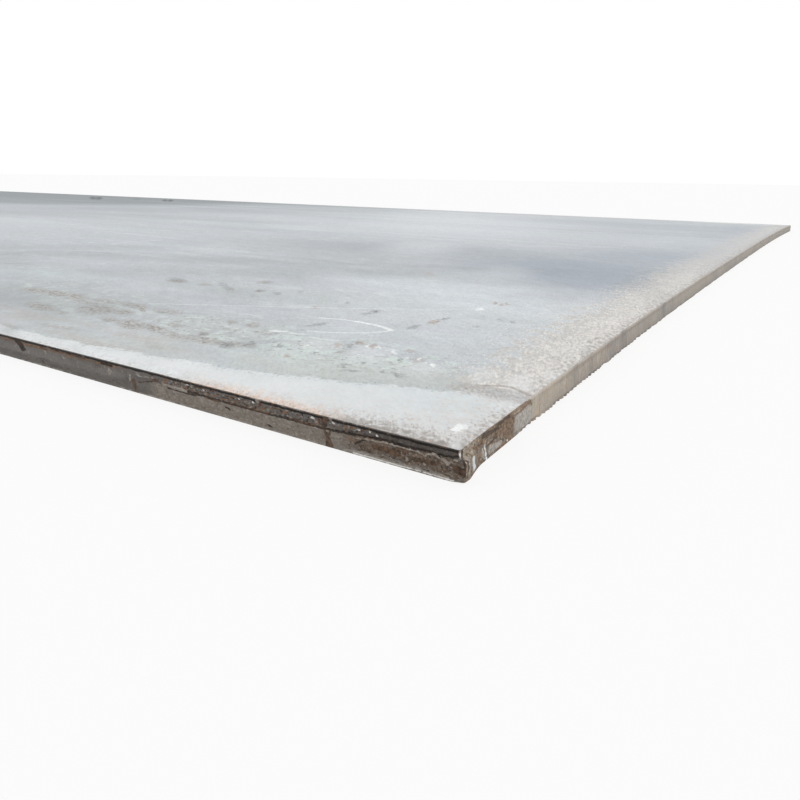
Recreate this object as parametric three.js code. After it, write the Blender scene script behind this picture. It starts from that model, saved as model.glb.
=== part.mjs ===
import * as THREE from "three";

// Hot-rolled steel plate, one stock sheet, in millimetres.
// X runs along the rolling direction, Y across it and Z up through the thickness.
// The origin is under the middle of the plate, on the face it lies on.
// The two long edges are sheared and the two ends are flame-cut, so the plate is lofted through
// rings that run round all four edges, from the top face down to the bottom face.

// Stock size, over the parts of the edges that stand out furthest
const plateLength = 6000;
const plateWidth = 2000;
const plateThickness = 16;

// Sheared long edges: the blade draws the top arris in, cuts a land square, then tears the rest,
// which leans out to a burr at the bottom
const rollInset = 0.6;
const rollDrop = 0.5;
const landHeight = 4.6;
const tearLean = 1.4;
const burrHeight = 0.9;
const burrReach = 0.3;
const burrRound = 0.1;
const sideWave = 0.3;
const sideWavePitch = 1300;

// Ledge in one sheared edge, where a second stroke of the blade met the first beside a corner:
// the land above it stands back and is undercut, and the metal below it stands out in a lip.
// It runs level, then higher up over the last stretch to the corner
const ledgeRun = 222;
const ledgeFade = 26;
const ledgeReach = 1.3;
const ledgeUndercut = 0.3;
const ledgeLipDrop = 0.9;
const ledgeHeight = 5.6;
const ledgeCornerHeight = 4.2;
const ledgeCornerRun = 66;
const ledgeStepRun = 26;
const ledgeWander = 0.25;
const ledgeWanderPitch = 74;

// Flame-cut ends: the top arris has melted round, the face waves a little as the torch was led
// along, leans out towards the bottom, and breaks off there in bites between beads of dross
const meltInset = 0.8;
const meltDrop = 0.9;
const kerfLean = 1.2;
const cutWave = 0.35;
const cutWavePitch = 170;
const drossHeight = 2.4;
const drossRoot = 1;
const drossBite = 1;
const drossFlare = 1.4;
const drossPitch = 58;

// The end at the ledge: its cut runs hollow from corner to corner, and stands upright beside the
// ledge's corner, where the metal below the ledge sticks out in an ear
const endHollow = 13;
const endHollowPower = 3;
const uprightRun = 90;
const uprightFade = 35;
const earReach = 2.3;
const earStart = 2;
const earRun = 12;

// A knock has turned the ear's lower corner up and in
const knockRun = 9;
const knockInset = 1.6;
const knockRise = 3.4;

// Shares of a rounding's drop and inset at the middle row of an arris, and of a knock at the
// middle row of the foot, and the depth of the middle row of a section
const arrisShare = 0.3;
const knockRiseShare = 0.7;
const knockInsetShare = 0.4;
const middleShare = 0.6;

// Corners in plan, and how far an edge's own shape carries on round a corner
const cornerRadius = 1.2;
const cornerSteps = 3;
const cornerReach = 40;

// Distances between the sections of the loft, shortest within cornerReach of the ledge's corner
const sidePitch = 150;
const ledgePitch = 7.5;
const endPitch = 14;
const cornerPitch = 3;

// Width of the border between the edges and the one flat field of each face
const fieldMargin = 70;

const halfLength = plateLength / 2;
const halfWidth = plateWidth / 2;
const fullTurn = 2 * Math.PI;

const fadeOut = (distance, from, to) => 1 - THREE.MathUtils.smoothstep(distance, from, to);

// A slow wandering between -1 and 1 that doesn't repeat within a few pitches.
function wander(distance, pitch, phase) {
  const turn = (distance / pitch) * fullTurn + phase;
  return (Math.sin(turn) + 0.6 * Math.sin(1.73 * turn + 2.1 * phase)) / 1.6;
}

// Evenly spaced values from start up to, but not including, end.
function spaced(start, end, pitch) {
  const count = Math.max(1, Math.ceil(Math.abs(end - start) / pitch));
  return Array.from({ length: count }, (unused, i) => start + ((end - start) * i) / count);
}

// How much of the knocked corner a place on the outline has, from its distances to both edges.
function knockAt(x, y) {
  if (x < 0 || y > 0) return 0;
  return fadeOut(Math.hypot(halfLength - x, halfWidth + y), 0, knockRun);
}

// Section of a sheared edge at a place on the outline: rows of [depth below the top face,
// inset from the outermost outline], in step with the rows of cutSection.
function shearedSection(x, y) {
  const fromEnd = halfLength - x;
  const ledge = y > 0 ? 0 : fadeOut(fromEnd, ledgeRun - ledgeFade, ledgeRun);
  const knock = knockAt(x, y);
  const wave = sideWave * (1 - ledge) * (0.5 + 0.5 * wander(x, sideWavePitch, y > 0 ? 2 : 0.4));
  const lean = THREE.MathUtils.lerp(tearLean, ledgeReach, ledge) + wave;
  const raised = fadeOut(fromEnd, ledgeCornerRun - ledgeStepRun, ledgeCornerRun);
  const ledgeLevel = THREE.MathUtils.lerp(ledgeHeight, ledgeCornerHeight, raised)
    + ledgeWander * wander(x, ledgeWanderPitch, 1.1);
  const ledgeDepth = THREE.MathUtils.lerp(landHeight, ledgeLevel, ledge);
  const lipDepth = ledgeDepth + ledgeLipDrop;
  const middleDepth = middleShare * plateThickness;
  const burrDepth = plateThickness - burrHeight;
  const tearShare = (depth) => 1 - (depth - landHeight) / (plateThickness - landHeight);
  const torn = (depth) => (1 - ledge) * (lean * tearShare(depth) + burrReach);
  return [
    [0, lean + rollInset],
    [arrisShare * rollDrop, lean + arrisShare * rollInset],
    [rollDrop, lean],
    [ledgeDepth, lean + ledge * ledgeUndercut],
    [lipDepth, torn(lipDepth)],
    [middleDepth, torn(middleDepth)],
    [burrDepth - knock * knockRise, torn(burrDepth)],
    [plateThickness - burrRound - knock * knockRiseShare * knockRise, knock * knockInsetShare * knockInset],
    [plateThickness, burrReach + knock * knockInset],
  ];
}

// How far the whole face of a flame-cut end stands back from the outermost outline.
function setBack(x, y, upright) {
  if (x < 0) return 0;
  return endHollow * (1 - Math.abs(y / halfWidth) ** endHollowPower) + earReach + upright * kerfLean;
}

// Section of a flame-cut end at a place on the outline, in step with the rows of shearedSection.
function cutSection(x, y) {
  const phase = x > 0 ? 0.7 : 3.9;
  const upright = x < 0 || y > 0 ? 0 : fadeOut(halfWidth + y, uprightRun, uprightRun + uprightFade);
  const ear = x < 0 || y > 0 ? 0 : fadeOut(halfWidth + y, earStart, earRun);
  const knock = knockAt(x, y);
  const wave = cutWave * (0.5 + 0.5 * wander(y, cutWavePitch, phase)) * (1 - ear);
  const bite = drossBite * Math.max(0, wander(y, drossPitch, 2 * phase)) * (1 - upright);
  const backAbove = setBack(x, y, upright);
  const backBelow = backAbove * (1 - ear);
  const lean = kerfLean * (1 - upright);
  const leaning = (depth) => lean * (1 - depth / plateThickness) + wave;
  const drossDepth = plateThickness - drossHeight;
  const lipDepth = landHeight + ledgeLipDrop;
  const middleDepth = middleShare * plateThickness;
  return [
    [0, backAbove + lean + meltInset + wave],
    [arrisShare * meltDrop, backAbove + lean + arrisShare * meltInset + wave],
    [meltDrop, backAbove + lean + wave],
    [landHeight, backAbove + leaning(landHeight)],
    [lipDepth, backBelow + leaning(lipDepth)],
    [middleDepth, backBelow + leaning(middleDepth)],
    [drossDepth - knock * knockRise, backBelow + wave],
    [
      plateThickness - drossRoot - knock * knockRiseShare * knockRise,
      backBelow + wave + bite + knock * knockInsetShare * knockInset,
    ],
    [plateThickness, backBelow + wave + drossFlare * bite + knock * knockInset],
  ];
}

// Places on the outermost outline, counter-clockwise from the ledge's corner.
function outlinePlaces() {
  const alongX = halfLength - cornerRadius;
  const alongY = halfWidth - cornerRadius;
  const ledgeStart = halfLength - ledgeRun;
  const knockX = halfLength - cornerReach;
  const knockY = cornerReach - halfWidth;
  const places = [];
  const corner = (signX, signY, startAngle) => {
    for (let i = 0; i < cornerSteps; i += 1) {
      const angle = startAngle + (Math.PI / 2) * (i / cornerSteps);
      places.push([
        signX * alongX + cornerRadius * Math.cos(angle),
        signY * alongY + cornerRadius * Math.sin(angle),
      ]);
    }
  };
  spaced(-alongY, knockY, cornerPitch).forEach((y) => places.push([halfLength, y]));
  spaced(knockY, alongY, endPitch).forEach((y) => places.push([halfLength, y]));
  corner(1, 1, 0);
  spaced(alongX, -alongX, sidePitch).forEach((x) => places.push([x, halfWidth]));
  corner(-1, 1, Math.PI / 2);
  spaced(alongY, -alongY, endPitch).forEach((y) => places.push([-halfLength, y]));
  corner(-1, -1, Math.PI);
  spaced(-alongX, ledgeStart, sidePitch).forEach((x) => places.push([x, -halfWidth]));
  spaced(ledgeStart, knockX, ledgePitch).forEach((x) => places.push([x, -halfWidth]));
  spaced(knockX, alongX, cornerPitch).forEach((x) => places.push([x, -halfWidth]));
  corner(1, -1, 1.5 * Math.PI);
  return places;
}

// The section at one place, as points from the top face down. The end's inset moves a point
// along X and the long edge's along Y, and each fades out just past the corner they share.
function sectionPoints([x, y]) {
  const endShare = fadeOut(halfLength - Math.abs(x), 0, cornerReach);
  const sideShare = fadeOut(halfWidth - Math.abs(y), 0, cornerReach);
  const sheared = shearedSection(x, y);
  const cut = cutSection(x, y);
  return sheared.map(([shearedDepth, shearedInset], row) => {
    const [cutDepth, cutInset] = cut[row];
    return new THREE.Vector3(
      x - Math.sign(x) * cutInset * endShare,
      y - Math.sign(y) * shearedInset * sideShare,
      plateThickness - THREE.MathUtils.lerp(cutDepth, shearedDepth, sideShare),
    );
  });
}

// Corners of the flat field of a face at height z, counter-clockwise from above.
function fieldCorners(z) {
  const x = halfLength - fieldMargin;
  const y = halfWidth - fieldMargin;
  return [
    new THREE.Vector3(x, -y, z),
    new THREE.Vector3(x, y, z),
    new THREE.Vector3(-x, y, z),
    new THREE.Vector3(-x, -y, z),
  ];
}

// The plate's closed surface: bands between neighbouring rings, then a border and a field to
// close each face.
function plateGeometry() {
  const sections = outlinePlaces().map(sectionPoints);
  const rowCount = sections[0].length;
  const points = sections.flat();
  const triangles = [];
  const pointAt = (section, row) => (section % sections.length) * rowCount + row;

  for (let section = 0; section < sections.length; section += 1) {
    for (let row = 0; row < rowCount - 1; row += 1) {
      const upperLeft = pointAt(section, row);
      const upperRight = pointAt(section + 1, row);
      const lowerLeft = pointAt(section, row + 1);
      const lowerRight = pointAt(section + 1, row + 1);
      triangles.push(lowerLeft, lowerRight, upperRight, lowerLeft, upperRight, upperLeft);
    }
  }

  const closeFace = (row, z, turned) => {
    const ring = sections.map((section) => section[row]);
    const field = fieldCorners(z);
    const fieldPlaces = field.map((corner, i) => points.length + i);
    const places = [...ring.map((point, i) => pointAt(i, row)), ...[...fieldPlaces].reverse()];
    points.push(...field);
    const border = THREE.ShapeUtils.triangulateShape(ring, [[...field].reverse()]);
    const faces = border.map((face) => face.map((i) => places[i]));
    faces.push([0, 1, 2].map((i) => fieldPlaces[i]), [0, 2, 3].map((i) => fieldPlaces[i]));
    faces.forEach(([a, b, c]) => triangles.push(...(turned ? [a, c, b] : [a, b, c])));
  };
  closeFace(0, plateThickness, false);
  closeFace(rowCount - 1, 0, true);

  const geometry = new THREE.BufferGeometry().setFromPoints(points);
  geometry.setIndex(triangles);
  geometry.computeVertexNormals();
  return geometry;
}

const millScale = new THREE.MeshStandardMaterial({
  color: 0xb2b9bd,
  roughness: 0.55,
  metalness: 0.5,
  flatShading: true,
});

const steelPlate = new THREE.Mesh(plateGeometry(), millScale);
steelPlate.name = "steel_plate";

const stock = new THREE.Group();
stock.add(steelPlate);

export default stock;
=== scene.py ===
import math
from functools import partial
import bmesh
import bpy
from mathutils import Matrix, Vector, noise


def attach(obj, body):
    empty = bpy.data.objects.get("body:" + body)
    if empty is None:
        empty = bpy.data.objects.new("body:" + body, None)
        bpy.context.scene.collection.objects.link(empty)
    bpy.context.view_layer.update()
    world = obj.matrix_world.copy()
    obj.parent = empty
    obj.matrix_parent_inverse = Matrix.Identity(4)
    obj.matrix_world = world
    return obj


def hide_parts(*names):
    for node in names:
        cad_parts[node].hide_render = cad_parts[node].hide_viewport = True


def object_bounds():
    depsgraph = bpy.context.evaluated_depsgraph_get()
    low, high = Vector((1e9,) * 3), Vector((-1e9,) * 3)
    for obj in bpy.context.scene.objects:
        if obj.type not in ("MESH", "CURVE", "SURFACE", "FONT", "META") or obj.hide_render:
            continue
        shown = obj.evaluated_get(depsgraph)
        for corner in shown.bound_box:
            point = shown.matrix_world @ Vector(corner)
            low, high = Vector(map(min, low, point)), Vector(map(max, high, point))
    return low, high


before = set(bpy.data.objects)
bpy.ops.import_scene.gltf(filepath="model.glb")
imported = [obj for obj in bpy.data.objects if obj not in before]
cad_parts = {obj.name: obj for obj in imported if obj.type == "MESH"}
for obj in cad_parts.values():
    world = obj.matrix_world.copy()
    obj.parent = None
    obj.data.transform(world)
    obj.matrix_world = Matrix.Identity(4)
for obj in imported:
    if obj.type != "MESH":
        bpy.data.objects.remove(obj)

cadLow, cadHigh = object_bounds()
mm = 0.001
scene = bpy.context.scene
print("frame loaded:", sorted(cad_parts))


def smoothStep(low, high, value):
    share = min(1.0, max(0.0, (value - low) / (high - low)))
    return share * share * (3 - 2 * share)


def fadeOut(distance, start, end):
    return 1 - smoothStep(start, end, distance)


def mixed(low, high, share):
    return low + (high - low) * share


def hexColour(code):  # sRGB hex to the linear colour that shaders work in
    parts = [int(code[i:i + 2], 16) / 255 for i in (1, 3, 5)]
    return [c / 12.92 if c <= 0.04045 else ((c + 0.055) / 1.055) ** 2.4 for c in parts] + [1]


def grain(x, y, z, pitch):  # smooth noise from -1 to 1 with lumps about one pitch long
    return noise.noise(Vector((x, y, z)) / pitch)


# All lengths are millimetres. Depth is measured down from the top face and inset in from the
# outermost outline, as in the part's own source.
plate = {
    "length": (cadHigh.x - cadLow.x) / mm,
    "width": (cadHigh.y - cadLow.y) / mm,
    "thickness": (cadHigh.z - cadLow.z) / mm,
    "rollInset": 0.6,
    "rollDrop": 0.5,
    "landHeight": 4.6,
    "tearLean": 1.4,
    "burrHeight": 0.9,
    "burrReach": 0.3,
    "burrRound": 0.1,
    "sideWave": 0.3,
    "sideWavePitch": 1300,
    "sideWavePhases": (0.4, 2),  # of the near and of the far edge
    "ledgeRun": 222,
    "ledgeFade": 26,
    "ledgeReach": 1.3,
    "ledgeUndercut": 0.3,
    "ledgeLipDrop": 0.9,
    "ledgeHeight": 5.6,
    "ledgeCornerHeight": 4.2,
    "ledgeCornerRun": 66,
    "ledgeStepRun": 26,
    "ledgeWander": 0.25,
    "ledgeWanderPitch": 74,
    "ledgeWanderPhase": 1.1,
    "lipDip": 2.4,  # the lip is chipped down to here, and over this run, beside the corner
    "lipDipPlace": 9,
    "lipDipRun": 5,
    "meltInset": 0.8,
    "meltDrop": 0.9,
    "kerfLean": 1.2,
    "cutWave": 0.35,
    "cutWavePitch": 170,
    "cutWavePhases": (3.9, 0.7),  # of the far and of the near end
    "drossHeight": 2.4,
    "drossRoot": 1,
    "drossBite": 0.5,
    "drossFlare": 1.4,
    "drossPitch": 58,
    "toothBite": 1.1,
    "toothPitch": 7,
    "toothGap": 0.3,  # above 0 the gaps between the teeth are wider than the teeth
    "toothWander": 3,
    "toothWanderPitch": 23,
    "toothStart": (70, 100),  # the gaps deepen over this stretch of the end and fade over the other
    "toothFade": (310, 620),
    "endHollow": 13,
    "endHollowPower": 3,
    "uprightRun": 90,
    "uprightFade": 35,
    "earReach": 2.3,
    "earStart": 2,
    "earRun": 25,
    "earPower": 1.5,
    "knockRun": 9,
    "knockInset": 1.6,
    "knockRise": 3.4,
    "arrisShare": 0.3,
    "knockRiseShare": 0.7,
    "knockInsetShare": 0.4,
    "middleShare": 0.6,
    "cornerRadius": 1.2,
    "cornerSteps": 5,
    "cornerReach": 40,
}
halfLength = plate["length"] / 2
halfWidth = plate["width"] / 2
thickness = plate["thickness"]
# where the two arrises of the top face meet at the ledge's corner
arrisCorner = (halfLength - 4.3, 1.9 - halfWidth)


secondWave = {"height": 0.6, "turns": 1.73, "phases": 2.1}  # as shares of the first wave's


def wander(distance, pitch, phase):  # two waves that never repeat together
    turn = distance / pitch * 2 * math.pi + phase
    second = math.sin(secondWave["turns"] * turn + secondWave["phases"] * phase)
    return (math.sin(turn) + secondWave["height"] * second) / (1 + secondWave["height"])


def knockAt(x, y):
    if x < 0 or y > 0:
        return 0
    return fadeOut(math.hypot(halfLength - x, halfWidth + y), 0, plate["knockRun"])


def shearedSection(x, y):
    p = plate
    fromEnd = halfLength - x
    ledge = 0 if y > 0 else fadeOut(fromEnd, p["ledgeRun"] - p["ledgeFade"], p["ledgeRun"])
    knock = knockAt(x, y)
    phase = p["sideWavePhases"][y > 0]
    wave = p["sideWave"] * (1 - ledge) * (0.5 + 0.5 * wander(x, p["sideWavePitch"], phase))
    lean = mixed(p["tearLean"], p["ledgeReach"], ledge) + wave
    raised = fadeOut(fromEnd, p["ledgeCornerRun"] - p["ledgeStepRun"], p["ledgeCornerRun"])
    ledgeLevel = mixed(p["ledgeHeight"], p["ledgeCornerHeight"], raised)
    ledgeLevel += p["ledgeWander"] * wander(x, p["ledgeWanderPitch"], p["ledgeWanderPhase"])
    ledgeLevel += p["lipDip"] * fadeOut(abs(fromEnd - p["lipDipPlace"]), 0, p["lipDipRun"])
    ledgeDepth = mixed(p["landHeight"], ledgeLevel, ledge)
    lipDepth = ledgeDepth + p["ledgeLipDrop"]
    middleDepth = p["middleShare"] * thickness
    burrDepth = thickness - p["burrHeight"]

    def torn(depth):
        share = 1 - (depth - p["landHeight"]) / (thickness - p["landHeight"])
        return (1 - ledge) * (lean * share + p["burrReach"])

    return [
        (0, lean + p["rollInset"]),
        (p["arrisShare"] * p["rollDrop"], lean + p["arrisShare"] * p["rollInset"]),
        (p["rollDrop"], lean),
        (ledgeDepth, lean + ledge * p["ledgeUndercut"]),
        (lipDepth, torn(lipDepth)),
        (middleDepth, torn(middleDepth)),
        (burrDepth - knock * p["knockRise"], torn(burrDepth)),
        (thickness - p["burrRound"] - knock * p["knockRiseShare"] * p["knockRise"],
         knock * p["knockInsetShare"] * p["knockInset"]),
        (thickness, p["burrReach"] + knock * p["knockInset"]),
    ]


def cutSection(x, y):
    p = plate
    nearLedge = x > 0 and y <= 0
    phase = p["cutWavePhases"][x > 0]
    fromCorner = halfWidth + y
    upright = fadeOut(fromCorner, p["uprightRun"], p["uprightRun"] + p["uprightFade"]) if nearLedge else 0
    earShare = 1 - max(0, fromCorner - p["earStart"]) / p["earRun"]
    ear = max(0, earShare) ** p["earPower"] if nearLedge else 0
    knock = knockAt(x, y)
    wave = p["cutWave"] * (0.5 + 0.5 * wander(y, p["cutWavePitch"], phase)) * (1 - ear)
    bite = p["drossBite"] * max(0, wander(y, p["drossPitch"], 2 * phase)) * (1 - upright)
    if nearLedge:
        toothed = smoothStep(*p["toothStart"], fromCorner) * fadeOut(fromCorner, *p["toothFade"])
        stretched = y + p["toothWander"] * grain(0, y, 0, p["toothWanderPitch"])
        bite += p["toothBite"] * toothed * max(0, p["toothGap"] + wander(stretched, p["toothPitch"], phase))
    back = 0
    if x > 0:
        hollow = p["endHollow"] * (1 - abs(y / halfWidth) ** p["endHollowPower"])
        back = hollow + p["earReach"] + upright * p["kerfLean"]
    backBelow = back * (1 - ear)
    lean = p["kerfLean"] * (1 - upright)
    lipDepth = p["landHeight"] + p["ledgeLipDrop"]
    middleDepth = p["middleShare"] * thickness

    def leaning(depth):
        return lean * (1 - depth / thickness) + wave

    return [
        (0, back + lean + p["meltInset"] + wave),
        (p["arrisShare"] * p["meltDrop"], back + lean + p["arrisShare"] * p["meltInset"] + wave),
        (p["meltDrop"], back + lean + wave),
        (p["landHeight"], back + leaning(p["landHeight"])),
        (lipDepth, backBelow + leaning(lipDepth)),
        (middleDepth, backBelow + leaning(middleDepth)),
        (thickness - p["drossHeight"] - knock * p["knockRise"], backBelow + wave),
        (thickness - p["drossRoot"] - knock * p["knockRiseShare"] * p["knockRise"],
         backBelow + wave + bite + knock * p["knockInsetShare"] * p["knockInset"]),
        (thickness, backBelow + wave + p["drossFlare"] * bite + knock * p["knockInset"]),
    ]


markRise = {"rust": 0.12, "dark": -0.35, "pale": 0.3, "white": 0.35}  # how far each kind stands out
markKinds = list(markRise)


def strokeRuns(strokes):  # the straight runs between neighbouring places of every stroke
    return {kind: [s[i:i + 6] for s in strokes[kind] for i in range(0, len(s) - 3, 3)] for kind in markKinds}


# A stroke goes from place to place. A place is its distance along the edge from the ledge's corner,
# its depth and the stroke's half width there.
frontStrokes = strokeRuns({
    "rust": [
        (239, 9, 1.7, 236.5, 14, 1.4), (345, 2.2, 0.7, 337, 3.2, 0.6), (331, 1.9, 0.4, 306, 2.1, 0.5),
        (306, 2.2, 0.6, 291, 2.4, 0.5), (234, 9, 0.4, 218, 5.6, 0.5), (219.5, 4.4, 1.1, 214, 4.6, 0.7),
        (169, 6.5, 0.5, 158, 7, 0.6), (126.9, 1, 1.3, 126.2, 2.8, 1), (152, 6.1, 0.3, 118, 6.3, 0.35),
        (104, 6.2, 0.3, 84, 6, 0.3), (78.5, 0.9, 1.4, 80.5, 4.4, 2), (79, 6.8, 0.6, 77.6, 9.2, 0.9),
        (74.6, 6.9, 0.5, 76.6, 9.2, 0.9), (77.4, 9.2, 1.1, 75.4, 15.6, 2.6), (29.8, 6.2, 1.2, 29, 8.2, 1),
        (47, 8.8, 1.2, 33, 9, 1.5), (25, 9.6, 0.9, 12, 9.2, 1.3), (1.2, 9, 1.6, -2.6, 10.2, 1.6),
        (1, 12.6, 0.7, -0.6, 13.2, 0.6), (8, 13, 0.6, 4, 13.6, 0.6), (117, 2.6, 0.6, 110, 2.8, 0.4),
        (178, 2.2, 0.5, 170, 2.6, 0.5),
    ],
    "dark": [
        (379, 1.9, 1.8, 372, 5.9, 3.2), (372, 5.9, 2.8, 369.5, 7.6, 1.6), (344, 13, 0.9, 343, 13.4, 0.7),
        # painted shade: the long dark strokes about 4 to 7 mm deep darken the undercut along the ledge
        (273, 2.4, 1, 261, 2.8, 0.7), (186, 6.2, 0.4, 176, 6.3, 0.45, 149, 6.5, 0.45),
        (149, 6.5, 0.5, 133, 6.7, 0.5, 117, 6.6, 0.45, 82, 6.4, 0.45, 60, 5.8, 0.4),
        (60, 5.6, 0.35, 46, 4.7, 0.4, 25, 4.7, 0.4, 18, 4.4, 0.35, 7.7, 4.7, 0.4, 3.3, 4.2, 0.4,
         1.2, 2.8, 0.45), (119, 13.2, 0.6, 117, 13.6, 0.5), (153, 9.4, 0.6, 149, 10, 0.5),
        (21, 14, 0.35, 15, 14, 0.45), (1, 7.8, 0.5, -2.6, 8.6, 0.8), (0, 10.4, 0.7, -2.4, 11, 0.7),
        # painted shade: the two dark strokes just past the ledge's corner, 5 to 13 mm deep, darken the recess
        (-3.2, 4.9, 0.5, -3.8, 7, 0.7), (-4, 7, 0.8, -4.3, 13, 0.8), (205, 7.3, 0.3, 178, 7.3, 0.35),
        (59, 10, 0.5, 56.2, 8.3, 0.6, 53.8, 6.7, 0.5),
    ],
    "pale": [
        (340, 5.2, 1.6, 340, 5.6, 1.2), (127.8, 0.1, 1.3, 127.4, 1, 1.1), (75.8, 0.1, 1.1, 75.4, 1, 0.9),
        (317.5, 5.4, 1.3, 317, 6.4, 1), (264.6, 6, 1.5, 264, 8.2, 1.2), (243, 6, 1, 242.5, 9, 0.7),
        (234.6, 3.4, 1.4, 234, 4.2, 1.1), (233.5, 5, 0.35, 218, 3.3, 0.35),
        # painted highlight: the strokes along the lip of the ledge, about 5.5 to 7 mm deep
        (209.6, 6, 0.5, 198, 5.5, 0.5, 188, 6.2, 0.55), (173, 8, 0.9, 172.6, 10.6, 0.7),
        (60, 6.9, 0.25, 49.6, 5.9, 0.28, 40.6, 5.3, 0.3, 21.8, 5.4, 0.3, 17.6, 6.2, 0.28, 15.1, 4.9, 0.4,
         12.3, 4.8, 0.36, 8.5, 6, 0.45, 5.5, 7.7, 0.6, 3.2, 6, 0.4, 0.6, 4.7, 0.4),
        # painted highlight down the ledge's corner
        (0.6, 4.7, 0.45, -0.3, 2.4, 0.55), (-0.3, 2.4, 0.7, -0.2, 0.2, 0.7),
        (27.8, 10.6, 0.8, 27.4, 11.2, 0.7), (17.8, 10.4, 0.6, 17.2, 11.2, 0.5),
        # painted highlight: the pale strokes about 14 to 15 mm deep run along the foot
        (157, 15.2, 0.4, 132, 15.3, 0.5), (66, 14.8, 0.8, 50, 14.3, 0.7), (50, 14.5, 0.5, 34, 14.5, 0.6),
        (34, 14.4, 0.6, 20, 14.5, 0.7, 5, 14.7, 0.9),
    ],
    "white": [
        # the first white stroke is a painted highlight down the ledge's corner
        (-0.4, 1.4, 0.4, -0.4, 3.2, 0.35), (187.4, 2.4, 0.55, 185.2, 1.9, 0.5),
        (182.6, 2.6, 0.4, 182.2, 2.6, 0.35), (172.2, 2.9, 0.45, 171.8, 3, 0.4),
        (142.9, 2.5, 0.65, 142.3, 2.5, 0.5), (131.7, 2.3, 0.6, 131.2, 2.3, 0.5),
        (104.6, 2.4, 0.35, 104.2, 2.4, 0.35), (101.4, 2.5, 0.4, 101, 2.5, 0.4),
        (98.4, 2.5, 0.35, 98, 2.5, 0.35), (88.3, 2.4, 0.75, 87.3, 2.7, 0.65),
        (73.8, 2.3, 0.55, 73.4, 2.3, 0.5), (57.5, 2.3, 0.5, 57.1, 2.3, 0.45),
        (50.4, 2.1, 0.45, 50, 2.1, 0.4), (46.6, 3, 0.7, 46, 3, 0.65),
        # painted highlight: these white strokes run along the foot
        (60, 15.3, 0.3, 34, 15.2, 0.35, 20, 14.9, 0.3), (18, 15.1, 0.3, 2, 15.3, 0.4),
    ],
})
endStrokes = strokeRuns({
    "rust": [
        (4.6, 7, 0.5, 5.8, 13, 0.7), (14, 3.6, 1, 18, 5.4, 1.3), (17, 8, 0.8, 21, 13, 1),
        (21, 4.2, 1.4, 26, 3.2, 1.8), (24, 1.7, 1.6, 43, 2.2, 2.2), (44, 4, 3.2, 62, 5, 4.2),
        (53, 9.2, 2.6, 64, 10.6, 2.6), (38, 5.4, 1.6, 44, 6, 1.6), (58, 0.5, 1.1, 83, 0.6, 0.9),
        (60, 3.4, 1, 74, 3, 0.8, 83, 2, 1), (44, 15.2, 0.8, 66, 14.8, 0.8), (22, 14.2, 0.8, 26, 15.2, 0.8),
        (82, 1, 0.9, 90, 1.9, 1.4), (90, 2.4, 1.3, 95.5, 6.6, 0.5),
    ],
    "dark": [
        # painted shade: the first two dark strokes darken the crease beside the ear at the corner
        (0.2, 4.8, 0.6, 2, 7.4, 0.7), (2, 7.4, 0.8, 1.8, 13.4, 0.8), (32, 8.6, 0.6, 43, 7.6, 0.6),
        (63.4, 3.2, 0.5, 67, 9.2, 0.5), (24, 1.5, 1.1, 33, 2.2, 1.4, 43, 3, 0.9),
        (43, 1.2, 0.9, 58, 1, 0.8),
    ],
    "pale": [
        (1.8, 4.6, 0.5, 3.8, 7.6, 0.6, 4.4, 13, 0.6), (8, 7.6, 1, 11, 13.6, 1),
        (24.4, 7.9, 0.8, 27.6, 13.8, 0.9), (34.4, 11.9, 2.5, 48.5, 12.6, 1.3),
        (71, 8.4, 4.8, 92, 10.4, 4.4), (84, 5.2, 1.2, 92, 6.6, 1),
    ],
    "white": [
        (10.6, 8.2, 2.2, 12.8, 12.8, 1.8), (26.8, 5.5, 0.5, 28.1, 10.8, 0.6, 30.3, 15.2, 0.8),
        (56.1, 13.9, 0.7, 56.5, 14.5, 0.7),
    ],
})
strokeFray = {
    "along": 0.7,
    "alongPitch": 2.6,
    "depth": 0.45,
    "depthPitch": 1.9,
    "depthShift": 9,  # gives the depth a noise of its own
    "reach": 6,  # no stroke is felt this far beyond its ends
    "core": 0.6,  # a stroke fades from this share of its half width to the other
    "rim": 1.5,
}


def runShare(run, along, depth):
    alongStart, depthStart, widthStart, alongEnd, depthEnd, widthEnd = run
    runAlong, runDepth = alongEnd - alongStart, depthEnd - depthStart
    passed = (along - alongStart) * runAlong + (depth - depthStart) * runDepth
    reached = min(1.0, max(0.0, passed / (runAlong ** 2 + runDepth ** 2)))
    gap = math.hypot(along - alongStart - reached * runAlong, depth - depthStart - reached * runDepth)
    return fadeOut(gap / mixed(widthStart, widthEnd, reached), strokeFray["core"], strokeFray["rim"])


def marksAt(strokes, along, depth):
    f, reach = strokeFray, strokeFray["reach"]
    place = Vector((along, depth, 0))
    along += f["along"] * noise.noise(place / f["alongPitch"])
    depth += f["depth"] * noise.noise(place / f["depthPitch"] + Vector((0, 0, f["depthShift"])))
    shares = {}
    for kind in markKinds:
        near = [r for r in strokes[kind] if min(r[0], r[3]) - reach < along < max(r[0], r[3]) + reach]
        shares[kind] = max([runShare(r, along, depth) for r in near], default=0)
    return shares


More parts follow.
